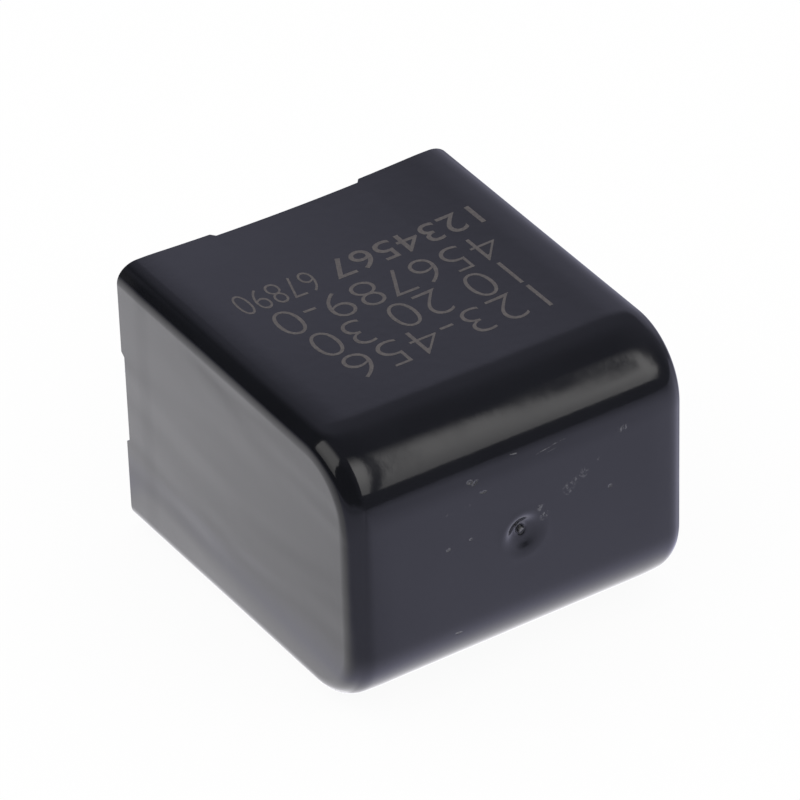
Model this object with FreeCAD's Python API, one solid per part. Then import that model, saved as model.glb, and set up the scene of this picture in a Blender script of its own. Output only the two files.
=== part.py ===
"""A radial film capacitor in a moulded box, lying on one of its wide faces.

Millimetres. The origin is the middle of the seating plane, which the tips of the feet share, halfway
between the two leads. X runs along the lead pitch, +Y out of the open end, and +Z up through the
upper wide face.
"""
import FreeCAD
import Part
import math
import os

Vector = FreeCAD.Vector
X_AXIS = Vector(1, 0, 0)
Y_AXIS = Vector(0, 1, 0)
Z_AXIS = Vector(0, 0, 1)

# Leads
lead_pitch = 27.5
lead_diameter = 0.8
lead_stand_out = 3.1
lead_tip_chamfer = 0.12
lead_to_wall = 0.85
lead_crank = 0.6
lead_crank_deg = 25.0
lead_run = 16.0
lead_sink = 0.1

# Case, inside
side_wall = 1.0
face_wall = 1.2
end_wall = 1.3

# Case, outside
case_length = lead_pitch + lead_diameter + 2 * (lead_to_wall + side_wall)
case_height = 34.5
case_thickness = 25.7
edge_radius = 2.0
nose_radius = 6.5
side_draft_deg = 0.2
face_draft_deg = 0.75
rim_bow = 0.55
sink_margin = 0.1

# Feet on the rim, an L at each corner, left standing between four windows
foot_height = 0.43
foot_length_x = 9.2
foot_length_z = 8.75
window_flare = 0.35

# Gate mark in the middle of the closed end
gate_dish_diameter = 4.2
gate_dish_depth = 0.3
gate_nub_diameter = 0.9
gate_nub_height = 0.28

# Cast resin, which climbs the walls a little and creeps up the wires
resin_recess = 1.25
meniscus_radius = 0.45
meniscus_lip = 0.1
creep_height = 0.78
creep_width = 0.6
creep_lip = 0.12
crank_cover = 0.03

# Winding and its sprayed ends
winding_cover = 2.6
winding_to_floor = 0.65
winding_to_face = 0.65
spray_thickness = 0.6

# Solder
solder_length = 7.0
solder_over_wire = 0.25
solder_tail = 3.0
solder_slope = 0.8

# Where the wire's run lies on the sprayed end, and the roll between the two sprayed ends
run_x = lead_pitch / 2 - lead_crank
spray_outer_x = run_x - lead_diameter / 2 + lead_sink
film_half_width = spray_outer_x - spray_thickness

# How far up the wires the resin reaches
creep_top = -resin_recess + creep_height

# The roll along Y, and its half thickness inside the narrowest part of the cavity
winding_top = -resin_recess - winding_cover
winding_bottom = -case_height + end_wall + winding_to_floor
taper = case_height * math.tan(math.radians(face_draft_deg))
winding_radius = case_thickness / 2 - face_wall - max(taper, rim_bow) - winding_to_face


def box_between(low, high):
    """A block from one corner to the opposite one."""
    size = high - low
    return Part.makeBox(size.x, size.y, size.z, low)


def wedge(half_length, half_thickness, depth):
    """A block from the rim to the closed end, its four walls drafted."""
    far_length = half_length - depth * math.tan(math.radians(side_draft_deg))
    far_thickness = half_thickness - depth * math.tan(math.radians(face_draft_deg))
    far_end = (-far_length, -depth, -far_thickness, -half_thickness, -half_length)
    rim = (far_length, 0, far_thickness, half_thickness, half_length)
    return Part.makeWedge(*far_end, *rim)


def outer_block():
    """The case's outside: drafted walls, a round nose, rounded narrow sides and sunken wide faces."""
    half_length = case_length / 2
    half_thickness = case_thickness / 2
    block = wedge(half_length, half_thickness, case_height)
    block = block.makeFillet(nose_radius, nose_edges(block, case_height))
    block = block.makeFillet(edge_radius, side_outline_edges(block, case_height))
    return sink_faces(block, half_length - edge_radius, half_thickness)


def inner_block():
    """The cavity: drafted walls with rounded upright corners, its closed end cut to a round nose."""
    half_length = case_length / 2 - side_wall
    half_thickness = case_thickness / 2 - face_wall
    depth = case_height - end_wall
    corner = edge_radius - side_wall
    block = wedge(half_length, half_thickness, depth)
    upright = [edge for edge in block.Edges if edge.BoundBox.YLength > depth - 0.01]
    nose = wedge(half_length + side_wall, half_thickness, depth)
    nose = nose.makeFillet(nose_radius - face_wall, nose_edges(nose, depth))
    block = block.makeFillet(corner, upright).common(nose)
    return sink_faces(block, half_length - corner, half_thickness)


def nose_edges(block, depth):
    """The two edges of the closed end that run along X."""
    found = []
    for edge in block.Edges:
        box = edge.BoundBox
        on_end = box.YMax < -depth + 0.01
        along_x = box.ZLength < 0.01
        if on_end and along_x:
            found.append(edge)
    return found


def side_outline_edges(block, depth):
    """Every edge round the two narrow sides, apart from the open rim."""
    found = []
    for edge in block.Edges:
        box = edge.BoundBox
        on_side = box.XLength < depth * math.tan(math.radians(side_draft_deg)) + 0.01
        at_rim = box.YMin > -0.01
        if on_side and not at_rim:
            found.append(edge)
    return found


def sink_faces(block, half_width, face_z):
    """The block with the hollow that each wide face shrinks into, deepest in the middle of the rim."""
    run_out = case_height - nose_radius - sink_margin
    rim_half = half_width - sink_margin
    far_half = rim_half - run_out * math.tan(math.radians(side_draft_deg))
    far_z = face_z - run_out * math.tan(math.radians(face_draft_deg))
    left = Vector(-rim_half, 0, face_z)
    right = Vector(rim_half, 0, face_z)
    rim_arc = Part.Arc(left, Vector(0, 0, face_z - rim_bow), right).toShape()
    far_left = Vector(-far_half, -run_out, far_z)
    far_right = Vector(far_half, -run_out, far_z)
    sunken = Part.makeRuledSurface(rim_arc, Part.makeLine(far_left, far_right))
    hollow = sunken.extrude(Z_AXIS * edge_radius)
    return block.cut([hollow, hollow.mirror(Vector(0, 0, 0), Z_AXIS)])


def window(width, along_x):
    """A cutter for the two windows that face each other across the rim, wider at its mouth."""
    reach = case_length + case_thickness
    floor = width / 2
    mouth = width / 2 + window_flare
    profile = [
        (-floor, -foot_height),
        (floor, -foot_height),
        (mouth, 0),
        (mouth, foot_height),
        (-mouth, foot_height),
        (-mouth, 0),
    ]
    if along_x:
        points = [Vector(across, y, -reach / 2) for across, y in profile]
        sweep = Z_AXIS * reach
    else:
        points = [Vector(-reach / 2, y, across) for across, y in profile]
        sweep = X_AXIS * reach
    points.append(points[0])
    return Part.Face(Part.makePolygon(points)).extrude(sweep)


def gate_mark(case):
    """The moulding gate: a shallow dish in the closed end with a broken stub in it."""
    end_y = -case_height
    dish_radius = gate_dish_diameter / 2
    ball_radius = (dish_radius ** 2 + gate_dish_depth ** 2) / (2 * gate_dish_depth)
    ball_centre = Vector(0, end_y + gate_dish_depth - ball_radius, 0)
    dished = case.cut(Part.makeSphere(ball_radius, ball_centre))
    stub_root = Vector(0, end_y + gate_dish_depth + end_wall / 4, 0)
    stub_length = gate_nub_height + end_wall / 4
    stub = Part.makeCone(
        gate_nub_diameter / 2, gate_nub_diameter / 3, stub_length, stub_root, -Y_AXIS
    )
    return dished.fuse(stub)


def make_case():
    """The moulded box: drafted shell, four feet between the rim's windows, gate mark."""
    shell = outer_block().cut(inner_block())
    shell = shell.cut(window(case_length - 2 * foot_length_x, True))
    shell = shell.cut(window(case_thickness - 2 * foot_length_z, False))
    return gate_mark(shell)


def oblong(start_x, width):
    """The roll's flattened round form, two half circles and two straights, extruded along X."""
    near = winding_bottom + winding_radius
    far = winding_top - winding_radius
    edges = [
        Part.makeLine(
            Vector(start_x, near, -winding_radius), Vector(start_x, far, -winding_radius)
        ),
        Part.Arc(
            Vector(start_x, far, -winding_radius),
            Vector(start_x, winding_top, 0),
            Vector(start_x, far, winding_radius),
        ).toShape(),
        Part.makeLine(
            Vector(start_x, far, winding_radius), Vector(start_x, near, winding_radius)
        ),
        Part.Arc(
            Vector(start_x, near, winding_radius),
            Vector(start_x, winding_bottom, 0),
            Vector(start_x, near, -winding_radius),
        ).toShape(),
    ]
    return Part.Face(Part.Wire(edges)).extrude(X_AXIS * width)


def make_winding():
    """The roll of metallised film, its turns as one solid."""
    return oblong(-film_half_width, 2 * film_half_width)


def make_spray():
    """The sprayed metal on the right-hand end of the roll."""
    return oblong(film_half_width, spray_thickness)


def straight_wire(start, end):
    """A straight stretch of lead."""
    run = end - start
    return Part.makeCylinder(lead_diameter / 2, run.Length, start, run)


def crank_ends():
    """Where the wire leaves its run along the sprayed end, and where it is out on the pitch."""
    outer = Vector(lead_pitch / 2, creep_top - crank_cover, 0)
    length = lead_crank / math.tan(math.radians(lead_crank_deg))
    return Vector(run_x, outer.y - length, 0), outer


def make_lead():
    """The right-hand lead: a run along the sprayed end, a crank under the resin and the pin outside."""
    inner, outer = crank_ends()
    run = straight_wire(inner - Y_AXIS * lead_run, inner)
    slant = straight_wire(inner, outer)
    knees = [Part.makeSphere(lead_diameter / 2, knee) for knee in (inner, outer)]
    pin = straight_wire(outer, Vector(lead_pitch / 2, lead_stand_out, 0))
    tip = [edge for edge in pin.Edges if edge.BoundBox.YMin > lead_stand_out - 0.01]
    pin = pin.makeChamfer(lead_tip_chamfer, tip)
    return run.fuse([slant, pin] + knees)


def make_solder():
    """The bead over the wire's run on the right-hand end, before the wire is taken out of it."""
    radius = lead_diameter - lead_sink + solder_over_wire
    start = crank_ends()[0] - Y_AXIS * (lead_run - solder_tail)
    start.x = spray_outer_x
    end = start + Y_AXIS * solder_length
    bead = Part.makeCylinder(radius, solder_length, start, Y_AXIS)
    back_end = Part.makeCone(radius, radius / 2, solder_slope, start, -Y_AXIS)
    front_end = Part.makeCone(radius, radius / 2, solder_slope, end, Y_AXIS)
    bead = bead.fuse([back_end, front_end])
    reach = 2 * radius
    outer_half = box_between(
        start - Vector(0, reach, reach), end + Vector(reach, reach, reach)
    )
    return bead.common(outer_half)


def mirrored(shape):
    """The same piece on the left-hand side."""
    return shape.mirror(Vector(0, 0, 0), X_AXIS)


def resin_creep():
    """The resin that climbs the right-hand wire: a steep cone on a flatter one."""
    top_radius = lead_diameter / 2 + creep_lip
    waist_radius = top_radius + creep_width / 4
    foot_radius = top_radius + creep_width
    waist_height = creep_height / 3
    foot = Vector(lead_pitch / 2, -resin_recess, 0)
    waist = foot + Y_AXIS * waist_height
    below = Part.makeCylinder(foot_radius, creep_height, foot, -Y_AXIS)
    flat = Part.makeCone(foot_radius, waist_radius, waist_height, foot, Y_AXIS)
    steep = Part.makeCone(waist_radius, top_radius, creep_height - waist_height, waist, Y_AXIS)
    return below.fuse([flat, steep])


def pool():
    """A cutter for the empty space over the resin. Its rounded floor edge leaves the hollow at the walls."""
    half_length = case_length / 2 - side_wall - meniscus_lip
    half_thickness = case_thickness / 2 - face_wall - meniscus_lip
    half_length = half_length - resin_recess * math.tan(math.radians(side_draft_deg))
    half_thickness = half_thickness - resin_recess * math.tan(math.radians(face_draft_deg))
    corners = [
        Vector(-half_length, -resin_recess, -half_thickness),
        Vector(half_length, -resin_recess, -half_thickness),
        Vector(half_length, -resin_recess, half_thickness),
        Vector(-half_length, -resin_recess, half_thickness),
    ]
    bow = Vector(0, -resin_recess, half_thickness - rim_bow)
    edges = [
        Part.Arc(corners[0], Vector(0, bow.y, -bow.z), corners[1]).toShape(),
        Part.makeLine(corners[1], corners[2]),
        Part.Arc(corners[2], bow, corners[3]).toShape(),
        Part.makeLine(corners[3], corners[0]),
    ]
    space = Part.Face(Part.Wire(edges)).extrude(Y_AXIS * case_height)
    upright = [edge for edge in space.Edges if edge.BoundBox.YLength > case_height - 0.01]
    space = space.makeFillet(edge_radius - side_wall, upright)
    floor = [edge for edge in space.Edges if edge.BoundBox.YMax < -resin_recess + 0.01]
    return space.makeFillet(meniscus_radius, floor)


def resin_fill():
    """The resin's outside: the cavity up to the fill line, with a hollow that climbs its walls."""
    reach = case_length + case_height
    keep = box_between(
        Vector(-reach, -reach, -reach),
        Vector(reach, -resin_recess + meniscus_radius, reach),
    )
    cavity = inner_block()
    creep = resin_creep().common(cavity)
    return cavity.common(keep).cut(pool()).fuse([creep, mirrored(creep)])


def build():
    """Every piece by its name."""
    lead = make_lead()
    spray = make_spray().cut(lead)
    solder = make_solder().cut(lead)
    winding = make_winding()
    pieces = {
        "case": make_case(),
        "film_winding": winding,
        "end_spray_right": spray,
        "end_spray_left": mirrored(spray),
        "lead_right": lead,
        "lead_left": mirrored(lead),
        "solder_right": solder,
        "solder_left": mirrored(solder),
    }
    inside = [shape for name, shape in pieces.items() if name != "case"]
    pieces["potting_resin"] = resin_fill().cut(inside)
    return pieces


def main():
    os.makedirs("parts", exist_ok=True)
    for name, shape in build().items():
        solid = shape.removeSplitter()
        solid.exportStep("parts/%s.step" % name)
        print(
            "%-16s solids %d valid %s volume %.1f mm3"
            % (name, len(solid.Solids), solid.isValid(), solid.Volume)
        )


main()
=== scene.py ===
"""Looks of a moulded box film capacitor: glossy black case, cast resin, tinned leads and the stage."""

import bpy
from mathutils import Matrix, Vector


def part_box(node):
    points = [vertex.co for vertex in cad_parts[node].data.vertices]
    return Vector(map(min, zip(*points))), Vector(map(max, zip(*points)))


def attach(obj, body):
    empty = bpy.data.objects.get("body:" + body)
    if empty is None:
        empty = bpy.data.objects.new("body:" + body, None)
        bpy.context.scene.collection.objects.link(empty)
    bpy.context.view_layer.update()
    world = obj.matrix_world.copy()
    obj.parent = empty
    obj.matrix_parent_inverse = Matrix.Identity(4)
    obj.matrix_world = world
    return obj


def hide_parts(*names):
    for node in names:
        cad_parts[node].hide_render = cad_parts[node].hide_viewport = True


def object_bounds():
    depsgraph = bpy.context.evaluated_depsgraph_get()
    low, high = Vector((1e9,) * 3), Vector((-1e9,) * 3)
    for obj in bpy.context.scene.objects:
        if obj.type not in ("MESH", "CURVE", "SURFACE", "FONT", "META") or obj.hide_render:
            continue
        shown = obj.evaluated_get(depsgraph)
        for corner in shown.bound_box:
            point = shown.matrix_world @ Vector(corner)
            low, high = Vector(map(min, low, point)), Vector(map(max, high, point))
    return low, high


bl_info = {
    "name": "Box film capacitor",
    "version": (1, 0, 0),
    "blender": (4, 2, 0),
    "location": "3D Viewport > Sidebar > Capacitor",
    "description": "Dresses a boxed film capacitor and sets up the stage it is seen on",
    "category": "Object",
}

import math
from functools import reduce

import bmesh
import bpy
from mathutils import Matrix, Vector

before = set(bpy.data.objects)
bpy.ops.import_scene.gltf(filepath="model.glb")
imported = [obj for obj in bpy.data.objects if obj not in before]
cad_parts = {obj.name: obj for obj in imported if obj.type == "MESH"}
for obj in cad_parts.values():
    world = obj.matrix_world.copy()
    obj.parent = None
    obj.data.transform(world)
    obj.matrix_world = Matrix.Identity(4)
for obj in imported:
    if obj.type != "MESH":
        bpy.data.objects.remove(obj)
cad_low, cad_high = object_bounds()
case_low, case_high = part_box("case")
_, lead_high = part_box("lead_right")

MM = 0.001
# Two places this close together count as one
NEAR = 0.01 * MM


def length(name, description, default):
    """A size that a user would change, in metres."""
    return bpy.props.FloatProperty(
        name=name, description=description, default=default, unit="LENGTH", precision=5
    )


def angle(name, description, degrees):
    """An angle that a user would change."""
    return bpy.props.FloatProperty(
        name=name, description=description, default=math.radians(degrees), subtype="ANGLE"
    )


def share(name, description, default):
    """A number from 0 to 1."""
    return bpy.props.FloatProperty(
        name=name, description=description, default=default, min=0.0, max=1.0, subtype="FACTOR"
    )


def colour(name, description, default):
    """A colour in linear light."""
    return bpy.props.FloatVectorProperty(
        name=name, description=description, default=default, size=3, min=0.0, max=1.0, subtype="COLOR"
    )


class CaseSettings(bpy.types.PropertyGroup):
    """Sizes and finish of the moulded box."""

    length: length("Length", "Over the two narrow sides, at the rim", case_high.x - case_low.x)
    height: length("Height", "From the feet to the closed end", case_high.y - case_low.y)
    thickness: length("Thickness", "Over the two wide faces, at the rim", case_high.z - case_low.z)
    side_draft: angle("Side draft", "Slope of the narrow sides", 0.2)
    face_draft: angle("Face draft", "Slope of the wide faces", 0.75)
    nose_radius: length("Nose radius", "Round between a wide face and the closed end", 6.5 * MM)
    edge_round: length("Edge round", "Offset of the round along the narrow sides", 1.95 * MM)
    edge_droop: length("Edge droop", "How far the surface falls away before the edge round", 0.27 * MM)
    droop_start: length("Droop start", "Distance from the middle at which the droop begins", 12.0 * MM)
    rim_bow: length("Rim bow", "How far a wide face sinks in the middle of the rim", 0.55 * MM)
    side_wall: length("Side wall", "Wall of the narrow sides", 1.0 * MM)
    face_wall: length("Face wall", "Wall of the wide faces", 1.2 * MM)
    end_wall: length("End wall", "Wall of the closed end", 1.3 * MM)
    foot_height: length("Foot height", "Depth of the four windows in the rim", 0.43 * MM)
    foot_length_x: length("Foot length", "Foot along a wide face", 9.2 * MM)
    foot_length_z: length("Foot width", "Foot along a narrow side", 8.75 * MM)
    window_flare: length("Window flare", "Slope beside each foot", 0.35 * MM)
    dish_radius: length("Gate dish radius", "Shallow dish in the closed end", 2.1 * MM)
    dish_depth: length("Gate dish depth", "Depth of the dish", 0.48 * MM)
    stub_radius: length("Gate stub radius", "Broken stub of the gate", 0.3 * MM)
    stub_height: length("Gate stub height", "Height of the stub over the dish", 0.16 * MM)
    stub_x: length("Gate stub offset", "How far the stub sits beside the dish's middle", -0.02 * MM)
    stub_z: length("Gate stub rise", "How far the stub sits above the dish's middle", 0.26 * MM)
    plastic: colour("Plastic", "Body colour of the moulded plastic", (0.0068, 0.0072, 0.0092))
    roughness: share("Roughness", "Mean roughness of the polished faces", 0.1)
    ripple: length("Ripple", "Height of the sink ripples in the narrow sides", 0.25 * MM)
    waviness: length("Waviness", "Height of the fine waviness all over", 0.004 * MM)
    # Painted sheen: how far the narrow sides' colour is lightened in streaks that stand in for brighter
    # reflection
    painted_sheen: share("Haze", "How much dull flow streaks lighten the narrow sides", 0.38)


class ResinSettings(bpy.types.PropertyGroup):
    """Sizes and finish of the cast resin in the open end."""

    recess: length("Recess", "Resin surface under the feet", 1.25 * MM)
    meniscus: length("Meniscus", "Height of the hollow at the walls", 0.45 * MM)
    creep_height: length("Creep height", "How far resin climbs the wires", 0.78 * MM)
    creep_width: length("Creep width", "Width of the resin round a wire", 0.6 * MM)
    creep_lip: length("Creep lip", "Thickness of the resin at its top", 0.12 * MM)
    resin: colour("Resin", "Body colour of the resin", (0.012, 0.0125, 0.0135))
    roughness: share("Roughness", "Mean roughness of the resin surface", 0.3)


class LeadSettings(bpy.types.PropertyGroup):
    """Sizes and finish of the tinned wires and of what is soldered to them."""

    radius: length("Wire radius", "Half the wire's diameter", 0.4 * MM)
    pitch: length("Pitch", "Distance between the two pins", 27.5 * MM)
    crank: length("Crank", "Step between the pin and the run on the winding", 0.6 * MM)
    crank_angle: angle("Crank angle", "Slope of the crank", 25.0)
    run: length("Run", "Length along the winding's end", 16.0 * MM)
    tip_round: length("Tip round", "Rounding of the cut tip", 0.12 * MM)
    tin: colour("Tin", "Colour of the tinned wire", (0.62, 0.61, 0.58))
    solder: colour("Solder", "Colour of the solder beads", (0.5, 0.5, 0.49))
    sprayed: colour("Sprayed metal", "Colour of the sprayed ends", (0.36, 0.35, 0.33))
    film: colour("Film", "Colour of the wound film", (0.55, 0.56, 0.54))


class MarkingSettings(bpy.types.PropertyGroup):
    """Plain numbers on the wide face and the marks of handling."""

    digit_height: length("Digit height", "Height of the numbers in the three large lines", 3.6 * MM)
    small_height: length("Small digit height", "Height of the numbers in the first line", 2.75 * MM)
    ink_height: length("Ink height", "How far the numbers stand proud", 0.008 * MM)
    ink: colour("Ink", "Colour of the numbers", (0.088, 0.079, 0.077))
    scuff: colour("Scuff", "Colour of nicks and grazes in the plastic", (0.1, 0.1, 0.105))


class StageSettings(bpy.types.PropertyGroup):
    """Camera, floor and light."""

    lens_mm: bpy.props.FloatProperty(
        name="Lens", description="Focal length on a 36 mm sensor, in millimetres", default=257.2446
    )
    camera_place: bpy.props.FloatVectorProperty(
        name="Camera place",
        description="Where the camera stands",
        default=(-0.2002974, -0.3354106, 0.2664108),
        subtype="TRANSLATION",
    )
    camera_turn: bpy.props.FloatVectorProperty(
        name="Camera turn",
        description="How the camera is turned",
        default=(math.radians(54.97314), math.radians(1.48151), math.radians(-33.19073)),
        subtype="EULER",
    )
    floor_size: length("Floor size", "Side of the square floor", 3.0)
    floor: colour("Floor", "Colour of the floor", (0.9, 0.9, 0.9))
    glow: colour("Glow", "Tint of the room that the gloss shows", (0.77, 0.765, 1.0))
    sky: share("Fill light", "Level of the plain light from all sides", 0.9)
    window_light: bpy.props.FloatProperty(
        name="Softbox level", description="Brightness of the softboxes seen in the gloss", default=1.38
    )


def settings(group):
    """The values of one group of settings."""
    return getattr(bpy.context.scene, "capacitor_" + group)


# Nodes

def add_node(tree, kind, inputs=None, **properties):
    """A node with its properties set and its own sockets linked or given their values."""
    node = tree.nodes.new(kind)
    for name, value in properties.items():
        setattr(node, name, value)
    for name, value in (inputs or {}).items():
        if isinstance(value, bpy.types.NodeSocket):
            tree.links.new(value, node.inputs[name])
        else:
            node.inputs[name].default_value = value
    return node


def math_node(tree, operation, *values):
    """A Math node whose inputs are sockets or numbers. Returns its output."""
    return add_node(tree, "ShaderNodeMath", dict(enumerate(values)), operation=operation).outputs["Value"]


def product(tree, *values):
    """Values multiplied together."""
    return reduce(lambda total, value: math_node(tree, "MULTIPLY", total, value), values)


def highest(tree, *values):
    """The highest of some values."""
    return reduce(lambda total, value: math_node(tree, "MAXIMUM", total, value), values)


def smooth_range(tree, value, low, high, low_out=0.0, high_out=1.0):
    """A smooth step from one level to another while value goes from low to high."""
    levels = {"Value": value, "From Min": low, "From Max": high, "To Min": low_out, "To Max": high_out}
    return add_node(tree, "ShaderNodeMapRange", levels, interpolation_type="SMOOTHSTEP").outputs["Result"]


def turned(tree, place, location=(0, 0, 0), rotation=(0, 0, 0), scale=(1, 1, 1), kind="POINT"):
    """The place moved, turned and stretched by a Mapping node."""
    values = {"Vector": place, "Location": location, "Rotation": rotation, "Scale": scale}
    return add_node(tree, "ShaderNodeMapping", values, vector_type=kind).outputs["Vector"]


def axes_of(tree, place):
    """The three coordinates of a place."""
    outputs = add_node(tree, "ShaderNodeSeparateXYZ", {"Vector": place}).outputs
    return outputs["X"], outputs["Y"], outputs["Z"]


def distance_of(tree, place):
    """How far a place is from the origin."""
    return add_node(tree, "ShaderNodeVectorMath", {0: place}, operation="LENGTH").outputs["Value"]


def mix_values(tree, factor, first, second):
    """A value between two, by a factor."""
    values = {"Factor": factor, "A": first, "B": second}
    return add_node(tree, "ShaderNodeMix", values, data_type="FLOAT").outputs["Result"]


def blend_colours(tree, factor, first, second):
    """A colour between two, by a factor."""
    values = {"Factor": factor}
    for name, value in (("A", first), ("B", second)):
        values[name] = value if isinstance(value, bpy.types.NodeSocket) else (*value, 1.0)
    return add_node(tree, "ShaderNodeMix", values, data_type="RGBA").outputs["Result"]


def mix_shaders(tree, factor, first, second):
    """A shader between two, by a factor."""
    return add_node(tree, "ShaderNodeMixShader", {0: factor, 1: first, 2: second}).outputs["Shader"]


def ray_kinds(tree):
    """Whether a ray comes from the camera, and whether gloss or glass sent it."""
    rays = add_node(tree, "ShaderNodeLightPath").outputs
    return rays["Is Camera Ray"], highest(tree, rays["Is Glossy Ray"], rays["Is Transmission Ray"])


def scaled_colour(value, factor):
    """A colour made darker or lighter."""
    return tuple(channel * factor for channel in value)


# Marks of handling on the closed end: place across and up, half width, half height, tilt and strength
GRAZES = [
    (4.25, 2.75, 0.75, 0.75, 0, 0.8),
    (5.0, 3.3, 0.45, 0.35, 30, 0.6),
    (5.65, 3.65, 0.7, 0.6, 20, 0.6),
    (7.05, 4.45, 0.3, 0.2, 50, 0.4),
    (1.55, 2.0, 0.42, 0.45, 20, 0.7),
    (1.9, 1.1, 0.45, 0.6, 30, 0.8),
    (9.5, 6.4, 0.65, 0.4, -10, 0.8),
    (-7.0, 4.9, 0.7, 0.16, 0, 0.3),
    (-5.25, 4.95, 0.6, 0.16, 0, 0.3),
    (-0.28, 0.75, 0.9, 0.7, 30, 0.45),
]
NICKS = [
    (-4.95, 7.05, 0.34, 0.26, 15, 1.0),
    (-4.5, 6.85, 0.42, 0.18, -30, 1.0),
    (-3.78, 5.7, 0.4, 0.16, 10, 1.0),
    (-7.12, 1.5, 0.26, 0.2, 0, 0.9),
    (-5.0, 1.65, 0.22, 0.16, 0, 0.5),
    (8.2, 1.3, 0.24, 0.22, 0, 0.9),
    (-6.3, -7.0, 0.4, 0.14, 10, 0.6),
]
TORN = [
    (-0.08, 0.34, 0.27, 0.25, 0, 1.0),
    (-0.26, 0.14, 0.1, 0.14, 0, 0.7),
]
SCRATCHES = [
    (-0.68, 7.9, 0.5, 0.07, 10, 1.0),
    (2.0, 7.24, 0.9, 0.05, -7, 0.8),
    (3.4, 7.44, 0.85, 0.05, -4, 0.8),
    (2.7, 7.0, 0.6, 0.035, -6, 0.4),
]
# Painted sheen streaks on the narrow sides, a lighter colour standing in for brighter reflection: height on
# the side, half height, start, end and strength
PAINTED_SHEEN_STREAKS = [
    (3.2, 1.7, -19.0, -4.6, 0.9),
    (3.4, 1.8, -34.0, -15.0, 0.45),
    (-0.9, 2.0, -17.0, -5.4, 0.75),
    (-6.3, 2.0, -32.0, -20.0, 0.4),
    (-7.8, 1.8, -24.0, -4.0, 0.5),
    (9.2, 1.3, -31.0, 0.0, 0.35),
    (-10.2, 1.0, -26.0, 0.0, 0.4),
]


class Finish:
    """A material under construction: its tree, its shader and the object's own place."""

    def __init__(self, name, **shader_values):
        self.material = bpy.data.materials.new(name)
        self.material.use_nodes = True
        self.tree = self.material.node_tree
        self.tree.nodes.clear()
        self.shader = add_node(self.tree, "ShaderNodeBsdfPrincipled", shader_values)
        add_node(self.tree, "ShaderNodeOutputMaterial", {"Surface": self.shader.outputs["BSDF"]})
        self.place = add_node(self.tree, "ShaderNodeTexCoord").outputs["Object"]

    def set(self, socket, value):
        """Links a value to one of the shader's sockets."""
        self.tree.links.new(value, self.shader.inputs[socket])

    def noise(self, fineness, detail=3.0, roughness=0.5, distortion=0.0, **turns):
        """A noise pattern on the piece, moved, turned or stretched by the turns."""
        place = turned(self.tree, self.place, **turns) if turns else self.place
        values = {"Vector": place, "Scale": fineness, "Detail": detail}
        values |= {"Roughness": roughness, "Distortion": distortion}
        return add_node(self.tree, "ShaderNodeTexNoise", values).outputs["Fac"]

    def marks(self, spots):
        """Where small marks lie: 1 in the middle of each, 0 outside their ovals."""
        masks = []
        for x, z, wide, high, tilt, strength in spots:
            middle = (x * MM, -settings("case").height, z * MM)
            turn = (0, math.radians(tilt), 0)
            reach = (wide * MM, 3.0 * MM, high * MM)
            oval = turned(self.tree, self.place, middle, turn, reach, "TEXTURE")
            masks.append(smooth_range(self.tree, distance_of(self.tree, oval), 0.45, 1.0, strength, 0.0))
        return highest(self.tree, *masks)

    def paint(self, factor, colour, first, second):
        """The base colour, between two shades of one colour."""
        shades = scaled_colour(colour, first), scaled_colour(colour, second)
        self.set("Base Color", blend_colours(self.tree, factor, *shades))

    def polish(self, pattern, smooth, rough):
        """The roughness, between two levels."""
        self.set("Roughness", smooth_range(self.tree, pattern, 0.3, 0.7, smooth, rough))

    def bump(self, height, before=None):
        """A bump from a height in metres, on top of another one."""
        values = {"Strength": 1.0, "Distance": 1.0, "Height": height}
        if before is not None:
            values["Normal"] = before
        return add_node(self.tree, "ShaderNodeBump", values).outputs["Normal"]

    def relief(self, pattern, height):
        """A pattern that stands up by a height in metres."""
        self.set("Normal", self.bump(product(self.tree, pattern, height)))


def painted_sheen_streaks(tree, y, z, cloud):
    """Where the painted sheen streaks lie on the narrow sides, each soft all round, broken up by a cloud.
    """
    streaks = [smooth_range(tree, y, -3.2 * MM, -0.8 * MM, 0.0, 0.6)]
    for middle, half, start, end, strength in PAINTED_SHEEN_STREAKS:
        above = math_node(tree, "ABSOLUTE", math_node(tree, "SUBTRACT", z, middle * MM))
        band = smooth_range(tree, above, 0.0, 1.3 * half * MM, strength, 0.0)
        begin = smooth_range(tree, y, (start - 2) * MM, (start + 6) * MM)
        finish = smooth_range(tree, y, (end - 5) * MM, (end + 1) * MM, 1.0, 0.0)
        streaks.append(product(tree, band, begin, finish))
    return product(tree, highest(tree, *streaks), smooth_range(tree, cloud, 0.2, 0.7, 0.6, 1.2))


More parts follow.
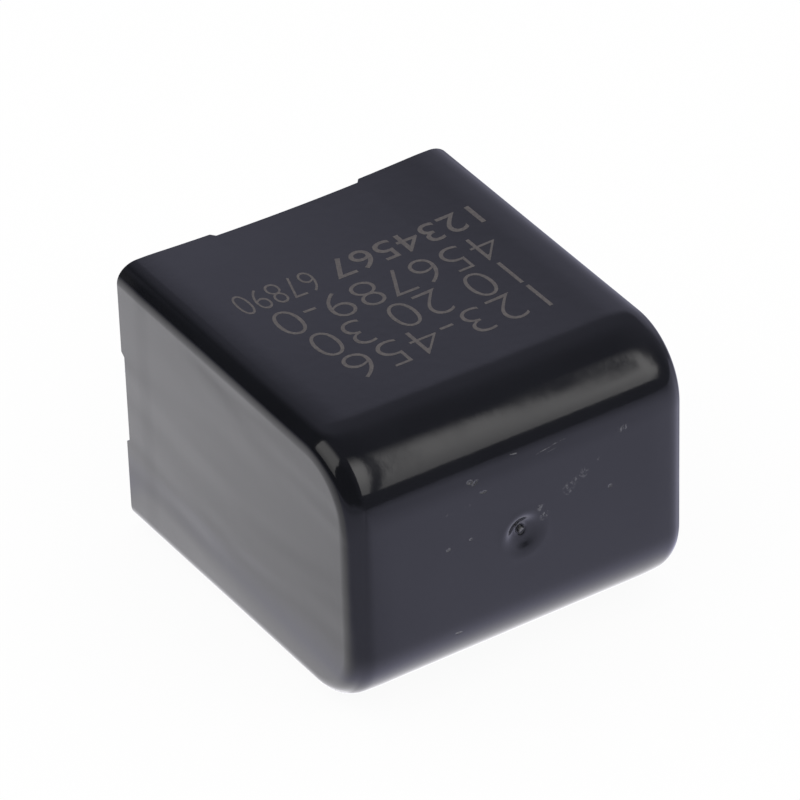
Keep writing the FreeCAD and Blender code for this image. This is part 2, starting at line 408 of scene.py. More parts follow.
def plastic_finish():
    """Polished black thermoplastic: fine waviness, sink ripples and painted sheen streaks in the narrow
    sides, nicks and scuffs.
    """
    values = settings("case")
    # Colour of the painted sheen streaks on the narrow sides
    painted_sheen_colour = (0.034, 0.034, 0.036)
    finish = Finish("black_moulded_plastic", IOR=1.55)
    tree = finish.tree
    x, y, z = axes_of(tree, finish.place)
    broken = finish.noise(3600.0, 2.0, 0.6, 0.6)
    grazed = product(tree, finish.marks(GRAZES), smooth_range(tree, broken, 0.5, 0.62))
    nicked = product(tree, finish.marks(NICKS), smooth_range(tree, broken, 0.34, 0.6))
    scratched = product(tree, finish.marks(SCRATCHES), smooth_range(tree, broken, 0.4, 0.5))
    # A nick is pale on its slope and dark in its middle
    lip = product(tree, math_node(tree, "SUBTRACT", 1.0, nicked), nicked, 3.2)
    marked = highest(tree, grazed, lip, scratched, finish.marks(TORN))
    cloud = smooth_range(tree, finish.noise(120.0, 4.0, 0.55), 0.35, 0.65)
    shades = scaled_colour(values.plastic, 0.92), scaled_colour(values.plastic, 1.08)
    base = blend_colours(tree, cloud, *shades)
    at_side = smooth_range(tree, math_node(tree, "ABSOLUTE", x), 15.0 * MM, 15.8 * MM)
    painted_sheen = painted_sheen_streaks(tree, y, z, finish.noise(300.0, scale=(1.0, 0.3, 1.0)))
    # Painted sheen: the narrow sides are lightened in streaks in place of brighter reflection
    base = blend_colours(tree, product(tree, painted_sheen, at_side, values.painted_sheen), base, painted_sheen_colour)
    finish.set("Base Color", blend_colours(tree, marked, base, settings("marking").scuff))
    smear = finish.noise(260.0, 5.0, 0.6, scale=(1.0, 0.35, 1.0))
    polish = smooth_range(tree, smear, 0.3, 0.7, values.roughness * 0.8, values.roughness * 1.25)
    finish.set("Roughness", math_node(tree, "MULTIPLY_ADD", marked, 0.3, polish))
    lower = finish.bump(product(tree, finish.noise(1150.0, 2.0), values.waviness))
    lean = (math.radians(4), 0, 0)
    waves = finish.noise(165.0, 1.0, 0.35, 0.5, rotation=lean, scale=(1.0, 0.24, 1.0))
    rim_band = smooth_range(tree, y, -4.8 * MM, -2.4 * MM, 0.0, 0.03 * MM)
    sink = math_node(tree, "ADD", product(tree, waves, values.ripple), rim_band)
    lower = finish.bump(product(tree, sink, at_side), lower)
    grain = product(tree, marked, 0.012 * MM)
    dent = math_node(tree, "MULTIPLY_ADD", nicked, -0.12 * MM, grain)
    finish.set("Normal", finish.bump(dent, lower))
    return finish.material


def resin_finish():
    """Cast resin: softly wavy, with a few pinholes."""
    values = settings("resin")
    finish = Finish("cast_resin", IOR=1.53)
    tree = finish.tree
    cloud = finish.noise(260.0, 4.0, 0.6)
    finish.paint(smooth_range(tree, cloud, 0.3, 0.7), values.resin, 0.85, 1.3)
    finish.polish(cloud, values.roughness * 0.8, values.roughness * 1.3)
    swell = product(tree, finish.noise(170.0, 2.0), 0.05 * MM)
    grain = product(tree, finish.noise(1500.0, 2.0), 0.002 * MM)
    cells = {"Vector": finish.place, "Scale": 420.0}
    holes = add_node(tree, "ShaderNodeTexVoronoi", cells, feature="F1")
    pit = smooth_range(tree, holes.outputs["Distance"], 0.03, 0.12, -0.05 * MM, 0.0)
    height = math_node(tree, "ADD", math_node(tree, "ADD", swell, grain), pit)
    finish.set("Normal", finish.bump(height))
    return finish.material


def tin_finish():
    """Tinned wire: bright, with fine drawing lines along it and a duller bloom."""
    finish = Finish("tinned_wire", Metallic=1.0)
    bloom = finish.noise(1400.0, 4.0, 0.6)
    finish.paint(smooth_range(finish.tree, bloom, 0.35, 0.7), settings("leads").tin, 1.0, 0.72)
    finish.polish(bloom, 0.2, 0.42)
    finish.relief(finish.noise(9000.0, 3.0, 0.6, scale=(1.0, 0.03, 1.0)), 0.003 * MM)
    return finish.material


def solder_finish():
    """Solder: satin metal with slow lumps."""
    finish = Finish("solder", Metallic=1.0)
    lumps = finish.noise(900.0, 4.0, 0.6)
    finish.paint(lumps, settings("leads").solder, 1.0, 0.7)
    finish.polish(lumps, 0.25, 0.5)
    finish.relief(lumps, 0.03 * MM)
    return finish.material


def sprayed_finish():
    """Sprayed metal: matt and grainy."""
    finish = Finish("sprayed_metal", Metallic=0.85)
    grain = finish.noise(4200.0, 5.0, 0.75)
    finish.paint(finish.noise(500.0, 3.0, 0.6), settings("leads").sprayed, 0.75, 1.2)
    finish.polish(grain, 0.55, 0.85)
    finish.relief(grain, 0.04 * MM)
    return finish.material


def film_finish():
    """Wound metallised film: silvery, with the edges of its turns as fine lines round the roll."""
    finish = Finish("metallised_film", Metallic=0.6)
    bands = finish.noise(2600.0, 4.0, 0.6, scale=(1.0, 0.02, 0.02))
    finish.paint(bands, settings("leads").film, 0.7, 1.0)
    finish.polish(bands, 0.18, 0.35)
    finish.relief(bands, 0.004 * MM)
    return finish.material


def ink_finish():
    """Laser-marked numbers: matt and brownish, a little broken up."""
    finish = Finish("laser_marked_number", IOR=1.45)
    grain = finish.noise(5200.0, 4.0, 0.7)
    finish.paint(smooth_range(finish.tree, grain, 0.35, 0.65), settings("marking").ink, 0.75, 1.2)
    finish.polish(grain, 0.4, 0.6)
    return finish.material


# Meshes

def place_object(name, data):
    """A new object in the scene."""
    thing = bpy.data.objects.new(name, data)
    bpy.context.scene.collection.objects.link(thing)
    return thing


def pour_into(bm, other):
    """Adds another form to this one and lets the other go."""
    holder = bpy.data.meshes.new("holder")
    other.to_mesh(holder)
    other.free()
    bm.from_mesh(holder)
    bpy.data.meshes.remove(holder)


def face_outwards(bm):
    """Turns every face of a closed form outwards."""
    bmesh.ops.recalc_face_normals(bm, faces=bm.faces)


def of_kind(geom, kind):
    """The items of one kind among what an operator made."""
    return [item for item in geom if isinstance(item, kind)]


def round_edges(bm, edges, offset, segments, profile):
    """Rounds edges off."""
    options = {"offset_type": "OFFSET", "affect": "EDGES", "material": -1}
    bmesh.ops.bevel(bm, geom=edges, offset=offset, segments=segments, profile=profile, **options)


def drafted_block(size_x, size_z, depth, nose, edge, profile):
    """The box's form, its open end at y = 0: drafted walls, a round nose and rounded narrow sides."""
    values = settings("case")
    bm = bmesh.new()
    bmesh.ops.create_cube(bm, size=1.0)
    bmesh.ops.scale(bm, vec=(size_x, depth, size_z), verts=bm.verts)
    bmesh.ops.translate(bm, vec=(0, -depth / 2, 0), verts=bm.verts)
    closed_end = [v for v in bm.verts if v.co.y < -depth / 2]
    narrow_x = 1 - 2 * depth * math.tan(values.side_draft) / size_x
    narrow_z = 1 - 2 * depth * math.tan(values.face_draft) / size_z
    bmesh.ops.scale(bm, vec=(narrow_x, 1, narrow_z), verts=closed_end)
    far_edges = [e for e in bm.edges if all(v.co.y < -depth / 2 for v in e.verts)]
    along_x = [e for e in far_edges if abs(e.verts[0].co.x - e.verts[1].co.x) > depth / 4]
    round_edges(bm, along_x, nose * math.tan((math.pi / 2 - values.face_draft) / 2), 28, 0.5)
    bm.normal_update()
    outline = set()
    for face in bm.faces:
        if abs(face.normal.x) > 0.9:
            outline.update(e for e in face.edges if min(v.co.y for v in e.verts) < -NEAR)
    round_edges(bm, list(outline), edge, 12, profile)
    return bm


def inner_block(clear):
    """The form of the box's inside, smaller by a clearance."""
    values = settings("case")
    return drafted_block(
        values.length - 2 * (values.side_wall + clear),
        values.thickness - 2 * (values.face_wall + clear),
        values.height - values.end_wall - clear,
        values.nose_radius - values.face_wall,
        1.0 * MM,
        0.5,
    )


def cut_across(bm, axis, places, **options):
    """Loops cut through the whole mesh at places along one axis."""
    for place in places:
        normal = Vector((0, 0, 0))
        normal[axis] = 1
        everything = bm.verts[:] + bm.edges[:] + bm.faces[:]
        bmesh.ops.bisect_plane(
            bm, geom=everything, dist=0.0005 * MM, plane_co=normal * place, plane_no=normal, **options
        )


def both_ways(places):
    """The places and their mirror images."""
    return sorted(set(places) | {-place for place in places})


def open_rim(bm):
    """Takes out the faces of the open end."""
    rim = [f for f in bm.faces if all(v.co.y > -NEAR for v in f.verts)]
    bmesh.ops.delete(bm, geom=rim, context="FACES")


def gate_patch(bm, end_y, half):
    """Swaps the middle of the closed end for a shallow dish with the torn stub of the gate in it."""
    values = settings("case")
    flat = [f for f in bm.faces if all(v.co.y < end_y + NEAR for v in f.verts)]
    middle = [f for f in flat if all(max(abs(v.co.x), abs(v.co.z)) < half + NEAR for v in f.verts)]
    bmesh.ops.delete(bm, geom=middle, context="FACES")
    ring = [e for e in bm.edges if e.is_boundary and max(v.co.y for v in e.verts) < end_y + NEAR]
    dish = values.dish_radius
    stub = values.stub_radius
    floor = values.dish_depth
    top = floor - values.stub_height
    # Radius and depth of each ring, from the flat inwards
    profile = [
        (dish * 1.16, 0.0),
        (dish * 1.06, -0.02 * MM),
        (dish * 0.97, 0.0),
        (dish * 0.88, floor * 0.07),
        (dish * 0.78, floor * 0.2),
        (dish * 0.67, floor * 0.4),
        (dish * 0.56, floor * 0.61),
        (dish * 0.45, floor * 0.8),
        (dish * 0.35, floor * 0.93),
        (stub * 1.7, floor),
        (stub * 1.35, floor + 0.09 * MM),
        (stub * 1.12, floor + 0.08 * MM),
        (stub * 0.96, floor - 0.05 * MM),
        (stub * 0.82, top + 0.03 * MM),
        (stub * 0.6, top),
        (stub * 0.34, top + 0.06 * MM),
        (0.0, top + 0.02 * MM),
    ]
    centre = Vector((0, 0))
    for radius, depth in profile:
        made = bmesh.ops.extrude_edge_only(bm, edges=ring)["geom"]
        ring = of_kind(made, bmesh.types.BMEdge)
        inward = 1 - min(radius / dish, 1)
        next_centre = Vector((values.stub_x, values.stub_z)) * inward
        for vertex in of_kind(made, bmesh.types.BMVert):
            turn = math.atan2(vertex.co.z - centre.y, vertex.co.x - centre.x)
            vertex.co.x = next_centre.x + radius * math.cos(turn)
            vertex.co.z = next_centre.y + radius * math.sin(turn)
            vertex.co.y = end_y + depth
        centre = next_centre
    pole = {v for e in ring for v in e.verts}
    bmesh.ops.pointmerge(bm, verts=list(pole), merge_co=(centre.x, end_y + profile[-1][1], centre.y))


def face_share(x, y):
    """What share of its height the wide face keeps at a place, drawn in by moulding shrinkage."""
    values = settings("case")
    across = 1 - min((x / (values.length / 2)) ** 2, 1)
    along = min(max(1 + y / values.height, 0), 1)
    return 1 - values.rim_bow / (values.thickness / 2) * across * along


def sink_faces(bm):
    """Draws the wide faces in towards the middle of the rim."""
    for vertex in bm.verts:
        vertex.co.z *= face_share(vertex.co.x, vertex.co.y)


def droop_edges(bm):
    """Lets the wide faces and the closed end fall away gently before they turn into the narrow sides."""
    values = settings("case")
    bm.normal_update()
    span = values.length / 2 - values.droop_start
    moves = {}
    for vertex in bm.verts:
        past = max(abs(vertex.co.x) - values.droop_start, 0) / span
        fall = values.edge_droop * past ** 2
        moves[vertex] = Vector((0, vertex.normal.y, vertex.normal.z)) * -fall
    for vertex, move in moves.items():
        if vertex.co.y < -NEAR:
            vertex.co += move
        else:
            vertex.co.z += move.z


def lower_windows(bm):
    """Lowers the rim between the four feet."""
    values = settings("case")
    window_x = values.length / 2 - values.foot_length_x + NEAR
    window_z = values.thickness / 2 - values.foot_length_z + NEAR
    for vertex in bm.verts:
        at_rim = vertex.co.y > -NEAR
        if at_rim and (abs(vertex.co.x) < window_x or abs(vertex.co.z) < window_z):
            vertex.co.y -= values.foot_height


def piece_from(bm, name, material, smooth_degrees=40):
    """A finished piece of the object: its mesh, its material and the body it rides on."""
    mesh = bpy.data.meshes.new(name)
    bm.to_mesh(mesh)
    bm.free()
    mesh.shade_smooth()
    mesh.set_sharp_from_angle(angle=math.radians(smooth_degrees))
    mesh.materials.append(material)
    piece = place_object(name, mesh)
    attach(piece, "root")
    return piece


def cut_case(bm):
    """Cuts loops round the gate, at the feet and, finer, towards the narrow sides."""
    values = settings("case")
    gate = [index * 0.7 * MM for index in range(5)]
    window_x = values.length / 2 - values.foot_length_x
    window_z = values.thickness / 2 - values.foot_length_z
    across = gate + [window_x, window_x + values.window_flare]
    across += [place * MM for place in (3.8, 5.2, 8.6, 10.2, 11.3, 12.0, 12.5, 13.0, 13.5)]
    upward = gate + [window_z, window_z + values.window_flare, 5.6 * MM]
    cut_across(bm, 0, both_ways(across))
    cut_across(bm, 2, both_ways(upward))
    cut_across(bm, 1, [-1.3 * MM - index * 2.2 * MM for index in range(13)])


def build_case():
    """The moulded box, both its skins, its feet and its gate mark."""
    values = settings("case")
    bm = drafted_block(
        values.length, values.thickness, values.height, values.nose_radius, values.edge_round, 0.53
    )
    cut_case(bm)
    open_rim(bm)
    gate_patch(bm, -values.height, 2.8 * MM)
    droop_edges(bm)
    inner = inner_block(0.0)
    cut_case(inner)
    open_rim(inner)
    bmesh.ops.reverse_faces(inner, faces=inner.faces)
    pour_into(bm, inner)
    bmesh.ops.bridge_loops(bm, edges=[e for e in bm.edges if e.is_boundary])
    lower_windows(bm)
    sink_faces(bm)
    face_outwards(bm)
    case = piece_from(bm, "moulded_case", plastic_finish())
    soft_edge = case.modifiers.new("Rim edges", "BEVEL")
    soft_edge.width = 0.07 * MM
    soft_edge.segments = 2
    soft_edge.limit_method = "ANGLE"
    soft_edge.angle_limit = math.radians(35)
    even = case.modifiers.new("Even shading", "WEIGHTED_NORMAL")
    even.keep_sharp = True
    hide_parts("case")


def creep_skirt(side):
    """The hollow cone of resin round one wire, turned from its profile."""
    values = settings("resin")
    wire = settings("leads").radius
    bm = bmesh.new()
    top = -values.recess + values.creep_height
    inner = wire + values.creep_lip
    profile = [(wire, top), (inner, top)]
    steps = 8
    for index in range(1, steps + 1):
        turn = index / steps * math.pi / 2
        radius = inner + values.creep_width * (1 - math.cos(turn))
        height = top - values.creep_height * math.sin(turn)
        profile.append((radius, height))
    floor = -values.recess - 0.3 * MM
    profile += [(inner + values.creep_width, floor), (wire, floor)]
    points = [bm.verts.new((radius, height, 0)) for radius, height in profile]
    lines = [bm.edges.new(pair) for pair in zip(points, points[1:] + points[:1])]
    bmesh.ops.spin(
        bm, geom=points + lines, cent=(0, 0, 0), axis=(0, 1, 0), angle=2 * math.pi, steps=40, use_merge=True
    )
    bmesh.ops.translate(bm, vec=(side * settings("leads").pitch / 2, 0, 0), verts=bm.verts)
    face_outwards(bm)
    return bm


def winding_room():
    """The hollow in the resin that the winding and its sprayed ends fill, as a skin that faces inwards."""
    low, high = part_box("film_winding")
    left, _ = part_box("end_spray_left")
    _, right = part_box("end_spray_right")
    clear = 0.005 * MM
    radius = (high.z - low.z) / 2 + clear
    spread = (high.y - low.y) / 2 + clear - radius
    middle = (high.y + low.y) / 2
    turn = Matrix.Rotation(math.pi / 2, 4, "Y") @ Matrix.Rotation(math.pi / 64, 4, "Z")
    start = Matrix.Translation((left.x - clear, 0, 0)) @ turn
    bm = bmesh.new()
    circle = bmesh.ops.create_circle(bm, cap_ends=True, segments=64, radius=radius, matrix=start)
    for vertex in circle["verts"]:
        vertex.co.y += middle + math.copysign(spread, vertex.co.y)
    grown = bmesh.ops.extrude_face_region(bm, geom=bm.faces[:])["geom"]
    far_end = of_kind(grown, bmesh.types.BMVert)
    bmesh.ops.translate(bm, vec=(right.x - left.x + 2 * clear, 0, 0), verts=far_end)
    face_outwards(bm)
    bmesh.ops.reverse_faces(bm, faces=bm.faces)
    return bm


def build_resin():
    """The cast resin: it fills the case round the winding and creeps up the walls and the wires."""
    values = settings("resin")
    bm = inner_block(0.01 * MM)
    cut_across(bm, 0, both_ways([2.0 * MM, 5.0 * MM, 8.0 * MM, 11.0 * MM, 13.0 * MM]))
    fill_line = -values.recess + values.meniscus
    cut_across(bm, 1, [fill_line], clear_outer=True)
    edge = [e for e in bm.edges if e.is_boundary]
    surface = bmesh.ops.contextual_create(bm, geom=edge)["faces"]
    rings = 6
    for index in range(rings):
        turn = index / rings * math.pi / 2
        after = (index + 1) / rings * math.pi / 2
        inward = values.meniscus * (math.cos(turn) - math.cos(after))
        down = values.meniscus * (math.sin(after) - math.sin(turn))
        bmesh.ops.inset_region(bm, faces=surface, thickness=inward, depth=-down, use_even_offset=True)
    for side in (-1, 1):
        pour_into(bm, creep_skirt(side))
    sink_faces(bm)
    face_outwards(bm)
    pour_into(bm, winding_room())
    resin = piece_from(bm, "resin_fill", resin_finish(), 50)
    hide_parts("potting_resin")


def ring_frame(place, forward):
    """Where a ring of the wire lies and how it is turned."""
    return Matrix.Translation(place) @ Vector((0, 0, 1)).rotation_difference(forward).to_matrix().to_4x4()


def build_lead(side, name, node):
    """One wire, drawn from ring to ring along its path: rounded tip, pin, crank and run."""
    values = settings("leads")
    outer_y = -settings("resin").recess + settings("resin").creep_height - 0.03 * MM
    slope = values.crank_angle
    inner_y = outer_y - values.crank / math.tan(slope)
    tip_y = lead_high.y
    pin_x = values.pitch / 2
    run_x = pin_x - values.crank
    bend = 0.35 * MM
    down = Vector((0, -1, 0))
    leaning = Vector((-math.sin(slope), -math.cos(slope), 0))
    half_way = (down + leaning).normalized()
    outer = Vector((pin_x, outer_y, 0))
    inner = Vector((run_x, inner_y, 0))
    stops = [
        (Vector((pin_x, tip_y, 0)), down, values.radius - values.tip_round),
        (Vector((pin_x, tip_y - values.tip_round * 0.3, 0)), down, values.radius - values.tip_round * 0.35),
        (Vector((pin_x, tip_y - values.tip_round, 0)), down, values.radius),
        (outer - down * bend, down, values.radius),
        (outer, half_way, values.radius),
        (outer + leaning * bend, leaning, values.radius),
        (inner - leaning * bend, leaning, values.radius),
        (inner, half_way, values.radius),
        (inner + down * bend, down, values.radius),
        (Vector((run_x, inner_y - values.run, 0)), down, values.radius),
    ]
    bm = bmesh.new()
    place, forward, radius = stops[0]
    bmesh.ops.create_circle(
        bm, cap_ends=True, segments=32, radius=radius, matrix=ring_frame(place, forward)
    )
    ring = list(bm.edges)
    for (place, forward, radius), (next_place, next_forward, next_radius) in zip(stops, stops[1:]):
        made = bmesh.ops.extrude_edge_only(bm, edges=ring)["geom"]
        ring = of_kind(made, bmesh.types.BMEdge)
        step = ring_frame(next_place, next_forward) @ Matrix.Scale(next_radius / radius, 4)
        step = step @ ring_frame(place, forward).inverted()
        bmesh.ops.transform(bm, matrix=step, verts=of_kind(made, bmesh.types.BMVert))
    bmesh.ops.contextual_create(bm, geom=ring)
    if side < 0:
        bmesh.ops.scale(bm, vec=(-1, 1, 1), verts=bm.verts)
    face_outwards(bm)
    lead = piece_from(bm, name, bpy.data.materials["tinned_wire"], 50)
    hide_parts(node)


def build_leads():
    """Both tinned wires."""
    tin_finish()
    build_lead(-1, "wire_left", "lead_left")
    build_lead(1, "wire_right", "lead_right")


def dress_winding():
    """Finishes the winding, its sprayed ends and the solder, which keep the frame's own forms."""
    finishes = {
        "film_winding": (film_finish(), "film"),
        "end_spray_left": (sprayed_finish(), "sprayed_metal"),
        "solder_left": (solder_finish(), "solder"),
    }
    finishes["end_spray_right"] = finishes["end_spray_left"]
    finishes["solder_right"] = finishes["solder_left"]
    for name, (material, slot_name) in finishes.items():
        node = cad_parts[name]
        node.data.materials.clear()
        node.data.materials.append(material)


def face_height(x, y):
    """Height of the upper wide face at a place on it."""
    values = settings("case")
    return (values.thickness / 2 + y * math.tan(values.face_draft)) * face_share(x, y)


def number_line(text, start_x, end_x, middle_y, height, boldness):
    """One line of plain numbers lying on the wide face, its tops towards the closed end."""
    curve = bpy.data.curves.new("number_line", "FONT")
    curve.body = text
    curve.size = 1.0
    curve.resolution_u = 6
    curve.offset = boldness
    writing = place_object("number_line", curve)
    bpy.context.view_layer.update()
    mesh = bpy.data.meshes.new_from_object(writing)
    bpy.data.objects.remove(writing)
    bpy.data.curves.remove(curve)
    bm = bmesh.new()
    bm.from_mesh(mesh)
    bpy.data.meshes.remove(mesh)
    places_x = [v.co.x for v in bm.verts]
    places_y = [v.co.y for v in bm.verts]
    low_x, high_x = min(places_x), max(places_x)
    low_y, high_y = min(places_y), max(places_y)
    bmesh.ops.translate(bm, vec=(-low_x, -(low_y + high_y) / 2, 0), verts=bm.verts)
    scale_x = (start_x - end_x) / (high_x - low_x)
    scale_y = height / (high_y - low_y)
    bmesh.ops.scale(bm, vec=(-scale_x, -scale_y, 1), verts=bm.verts)
    bmesh.ops.translate(bm, vec=(start_x, middle_y, 0), verts=bm.verts)
    return bm


def build_numbers():
    """Four lines of plain numbers on the upper wide face."""
    values = settings("marking")
    tall = values.digit_height
    small = values.small_height
    # Text, start, end and middle in millimetres, height and boldness
    lines = [
        ("1234567", 12.1, -2.1, -10.15, small, 0.0),
        ("67890", -3.6, -11.0, -10.4, small * 1.08, -0.018),
        ("456789-0", 11.1, -9.8, -14.55, tall, -0.02),
        ("10 20 30", 9.7, -9.0, -18.7, tall, -0.02),
        ("123-456", 9.8, -8.4, -22.7, tall, -0.02),
    ]
    bm = bmesh.new()
    for text, start_x, end_x, middle_y, height, boldness in lines:
        pour_into(bm, number_line(text, start_x * MM, end_x * MM, middle_y * MM, height, boldness))
    bmesh.ops.remove_doubles(bm, verts=bm.verts, dist=0.002 * MM)
    face_outwards(bm)
    if sum(f.normal.z for f in bm.faces) < 0:
        bmesh.ops.reverse_faces(bm, faces=bm.faces)
    for vertex in bm.verts:
        vertex.co.z = face_height(vertex.co.x, vertex.co.y) - values.ink_height
    body = bmesh.ops.extrude_face_region(bm, geom=bm.faces[:])["geom"]
    raised = of_kind(body, bmesh.types.BMVert)
    bmesh.ops.translate(bm, vec=(0, 0, 2 * values.ink_height), verts=raised)
    face_outwards(bm)
    piece_from(bm, "plain_numbers", ink_finish(), 30)


# Stage

def softbox(name, middle, facing, roll, across, upward, strength):
    """A rectangular softbox, hottest past its middle. The camera doesn't see it, the gloss does."""
    level = settings("stage").window_light * strength
    facing = Vector(facing).normalized()
    spin = Matrix.Rotation(roll, 3, facing)
    side = spin @ facing.cross(Vector((0, 0, 1))).normalized()
    top = side.cross(facing)
    light = bpy.data.lights.new(name, "AREA")
    light.shape = "RECTANGLE"
    light.size = across[1] - across[0]
    light.size_y = upward[1] - upward[0]
    light.energy = 4 * light.size * light.size_y * level
    light.color = (1.0, 0.985, 0.96)
    light.use_nodes = True
    tree = light.node_tree
    _, height, _ = axes_of(tree, add_node(tree, "ShaderNodeNewGeometry").outputs["Parametric"])
    rise = smooth_range(tree, height, 0.0, 0.5, 0.55, 1.0)
    fade = smooth_range(tree, height, 0.58, 1.0, 1.0, 0.06)
    tree.links.new(product(tree, rise, fade), tree.nodes["Emission"].inputs["Strength"])
    lamp = place_object(name, light)
    lamp.location = Vector(middle) + side * sum(across) / 2 + top * sum(upward) / 2
    lamp.rotation_euler = Matrix((side, top, -facing)).transposed().to_euler()
    lamp.visible_camera = False


def floor_finish():
    """A white floor. What the gloss sees of it is a painted glow, brightest at the object's foot and
    dimming away.
    """
    values = settings("stage")
    half_x = settings("case").length / 2
    end_y = -settings("case").height
    middle_y = -0.017
    pale = (0.97, 0.96, 1.0)
    # Levels of the painted glow that glossy rays see on the floor
    foot = 2.2
    open_side = 1.42
    fall_length = 0.128
    near_share, far_share = 0.63, 0.29
    white_share = 0.94
    material = bpy.data.materials.new("white_floor")
    material.use_nodes = True
    tree = material.node_tree
    tree.nodes.clear()
    place = add_node(tree, "ShaderNodeTexCoord").outputs["Object"]
    x, y, _ = axes_of(tree, place)
    away = distance_of(tree, turned(tree, place, location=(0, -middle_y, 0)))
    at_left = smooth_range(tree, x, -half_x - 6 * MM, -half_x + 1 * MM, 1.0, 0.0)
    at_right = smooth_range(tree, x, half_x - 1 * MM, half_x + 6 * MM)
    at_back = smooth_range(tree, y, 0.0, 8 * MM)
    at_front = smooth_range(tree, y, end_y - 9.5 * MM, end_y + 7.5 * MM, 1.0, 0.0)
    left_foot = smooth_range(tree, x, -0.041, -0.033, 1.0, 1.29)
    left_level = product(tree, smooth_range(tree, y, -0.034, 0.026, 1.15, 1.62), left_foot)
    front_far = smooth_range(tree, x, 0.02, 0.05, 1.0, 1.2)
    front_level = product(tree, smooth_range(tree, x, -0.02, 0.0, 0.76, 1.23), front_far)
    level = mix_values(tree, at_right, foot, open_side)
    level = mix_values(tree, at_back, level, open_side)
    level = mix_values(tree, at_left, level, left_level)
    level = mix_values(tree, at_front, level, front_level)
    # The brightest part of the floor takes no tint
    at_foot = smooth_range(tree, level, 1.5, 2.0)
    reach = mix_values(tree, at_left, away, math_node(tree, "ABSOLUTE", x))
    fall = math_node(tree, "EXPONENT", math_node(tree, "DIVIDE", reach, -fall_length))
    fall = math_node(tree, "MULTIPLY_ADD", fall, near_share, far_share)
    behind = smooth_range(tree, math_node(tree, "ADD", x, y), 0.0, 0.03, 0.0, 0.65)
    level = highest(tree, product(tree, level, fall), behind)
    side_only = product(tree, at_left, math_node(tree, "SUBTRACT", 1.0, at_front))
    tint = blend_colours(tree, highest(tree, side_only, at_foot), values.glow, pale)
    # Painted glow: for glossy rays the floor shines at these levels, brightest under and beside the object
    glow = add_node(tree, "ShaderNodeEmission", {"Color": tint, "Strength": level})
    plain = add_node(tree, "ShaderNodeBsdfDiffuse", {"Color": (*values.floor, 1.0)})
    white = add_node(tree, "ShaderNodeEmission", {"Color": (1, 1, 1, 1), "Strength": 1.0})
    from_camera, mirrored = ray_kinds(tree)
    seen = product(tree, from_camera, white_share)
    lit = mix_shaders(tree, seen, plain.outputs["BSDF"], white.outputs["Emission"])
    shown = mix_shaders(tree, mirrored, lit, glow.outputs["Emission"])
    add_node(tree, "ShaderNodeOutputMaterial", {"Surface": shown})
    return material


def build_floor():
    """The floor under the lying object."""
    bm = bmesh.new()
    bmesh.ops.create_grid(bm, x_segments=2, y_segments=2, size=settings("stage").floor_size / 2)
    bmesh.ops.translate(bm, vec=(0, 0, cad_low.z - 0.02 * MM), verts=bm.verts)
    mesh = bpy.data.meshes.new("floor")
    bm.to_mesh(mesh)
    bm.free()
    mesh.materials.append(floor_finish())
    floor = place_object("floor", mesh)


def build_world():
    """White for the camera, plain fill for matt surfaces and, for gloss, a dim room with a pale wall."""
    values = settings("stage")
    world = bpy.data.worlds.new("studio")
    world.use_nodes = True
    bpy.context.scene.world = world
    tree = world.node_tree
    tree.nodes.clear()
    x, y, z = axes_of(tree, add_node(tree, "ShaderNodeTexCoord").outputs["Generated"])
    beside = smooth_range(tree, x, -0.32, 0.2)
    back = smooth_range(tree, y, 0.0, 0.35)
    wall = product(tree, smooth_range(tree, z, 0.51, 0.655, 0.39, 0.0), back)
    overhead = smooth_range(tree, y, -0.5, 0.1, 0.45, 1.0)
    upper = product(tree, smooth_range(tree, z, 0.78, 0.95, 0.26, 0.085), overhead)
    level = product(tree, beside, math_node(tree, "ADD", wall, upper))
    opposite = math_node(tree, "SUBTRACT", 1.0, beside)
    horizon = product(tree, smooth_range(tree, z, -0.05, 0.2, 0.4, 0.0), opposite)
    ceiling = smooth_range(tree, z, 0.8, 0.97, 0.0, 0.085)
    level = highest(tree, math_node(tree, "ADD", level, horizon), ceiling)
    dim = add_node(tree, "ShaderNodeBackground", {"Color": (*values.glow, 1.0), "Strength": level})
    fill = add_node(tree, "ShaderNodeBackground", {"Color": (1, 1, 1, 1), "Strength": values.sky})
    white = add_node(tree, "ShaderNodeBackground", {"Color": (1, 1, 1, 1), "Strength": 1.0})
    from_camera, mirrored = ray_kinds(tree)
    shown = mix_shaders(tree, mirrored, fill.outputs["Background"], dim.outputs["Background"])
    shown = mix_shaders(tree, from_camera, shown, white.outputs["Background"])
    add_node(tree, "ShaderNodeOutputWorld", {"Surface": shown})


def build_softboxes():
    """Softboxes before the front and over the left, which the rounded edges show as windows."""
    front = (0, -0.246, 0.176)
    back = (0, math.cos(math.radians(38)), -math.sin(math.radians(38)))
    roll = math.radians(4.4)
    # Where each window starts, ends and reaches up to, and its strength
    windows = [
        (0.012, 0.091, 0.215, 1.1),
        (0.114, 0.138, 0.2, 1.0),
        (0.138, 0.15, 0.105, 0.95),
        (0.15, 0.158, 0.04, 0.93),
        (0.158, 0.178, 0.2, 1.3),
        (0.178, 0.19, 0.105, 1.3),
        (0.19, 0.207, 0.03, 1.1),
    ]
    for number, (start, end, top, strength) in enumerate(windows, 1):
        softbox("softbox_%d" % number, front, back, roll, (start, end), (-0.086, top), strength)
    softbox("softbox_8", (-0.22, 0.013, 0.181), (0.78, 0, -0.62), 0, (-0.105, 0.11), (-0.045, 0.215), 0.72)


def build_camera():
    """The camera of the photograph's view."""
    values = settings("stage")
    camera = bpy.data.cameras.new("camera")
    camera.sensor_width = 36.0
    camera.lens = values.lens_mm
    camera.clip_start = 0.01
    camera.clip_end = 10.0
    eye = place_object("camera", camera)
    eye.location = values.camera_place
    eye.rotation_euler = values.camera_turn
    bpy.context.scene.camera = eye
    bpy.context.scene.view_settings.view_transform = "Standard"


# Operators

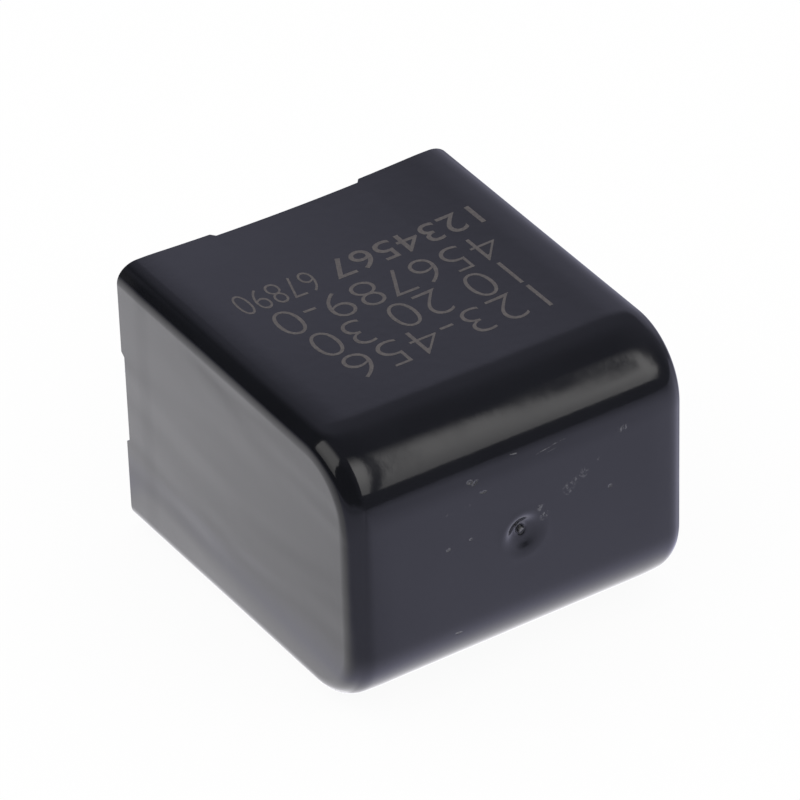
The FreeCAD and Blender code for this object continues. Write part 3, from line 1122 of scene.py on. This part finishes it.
class Step:
    """What all the steps share: each runs its builders in turn."""

    def execute(self, context):
        for builder in self.builders:
            builder()
        return {"FINISHED"}


class CAPACITOR_OT_case(Step, bpy.types.Operator):
    """Builds the moulded case"""

    bl_idname = "capacitor.case"
    bl_label = "Moulded case"
    builders = (build_case,)


class CAPACITOR_OT_resin(Step, bpy.types.Operator):
    """Builds the cast resin in the open end"""

    bl_idname = "capacitor.resin"
    bl_label = "Cast resin"
    builders = (build_resin,)


class CAPACITOR_OT_leads(Step, bpy.types.Operator):
    """Builds the two tinned wires"""

    bl_idname = "capacitor.leads"
    bl_label = "Leads"
    builders = (build_leads,)


class CAPACITOR_OT_winding(Step, bpy.types.Operator):
    """Finishes the winding, its sprayed ends and the solder"""

    bl_idname = "capacitor.winding"
    bl_label = "Winding and solder"
    builders = (dress_winding,)


class CAPACITOR_OT_marking(Step, bpy.types.Operator):
    """Puts plain numbers on the wide face"""

    bl_idname = "capacitor.marking"
    bl_label = "Numbers"
    builders = (build_numbers,)


class CAPACITOR_OT_stage(Step, bpy.types.Operator):
    """Sets up the floor, the light and the camera"""

    bl_idname = "capacitor.stage"
    bl_label = "Stage"
    builders = (build_floor, build_world, build_softboxes, build_camera)


class CAPACITOR_PT_panel(bpy.types.Panel):
    """Lists the settings and the steps that build the capacitor"""

    bl_idname = "CAPACITOR_PT_panel"
    bl_label = "Box film capacitor"
    bl_space_type = "VIEW_3D"
    bl_region_type = "UI"
    bl_category = "Capacitor"

    def draw(self, context):
        for step in STEPS:
            self.layout.operator(step.bl_idname)
        for name in GROUPS:
            box = self.layout.box()
            group = getattr(context.scene, name)
            for key in group.__annotations__:
                box.prop(group, key)


STEPS = [
    CAPACITOR_OT_case,
    CAPACITOR_OT_resin,
    CAPACITOR_OT_leads,
    CAPACITOR_OT_winding,
    CAPACITOR_OT_marking,
    CAPACITOR_OT_stage,
]

GROUPS = {
    "capacitor_case": CaseSettings,
    "capacitor_resin": ResinSettings,
    "capacitor_leads": LeadSettings,
    "capacitor_marking": MarkingSettings,
    "capacitor_stage": StageSettings,
}


def register():
    for group in GROUPS.values():
        bpy.utils.register_class(group)
    for name, group in GROUPS.items():
        setattr(bpy.types.Scene, name, bpy.props.PointerProperty(type=group))
    for step in STEPS:
        bpy.utils.register_class(step)
    bpy.utils.register_class(CAPACITOR_PT_panel)


def unregister():
    bpy.utils.unregister_class(CAPACITOR_PT_panel)
    for step in reversed(STEPS):
        bpy.utils.unregister_class(step)
    for name in GROUPS:
        delattr(bpy.types.Scene, name)
    for group in GROUPS.values():
        bpy.utils.unregister_class(group)


def main():
    register()
    bpy.ops.capacitor.case()
    bpy.ops.capacitor.resin()
    bpy.ops.capacitor.leads()
    bpy.ops.capacitor.winding()
    bpy.ops.capacitor.marking()
    bpy.ops.capacitor.stage()
    bpy.context.view_layer.update()


if __name__ == "__main__":
    main()
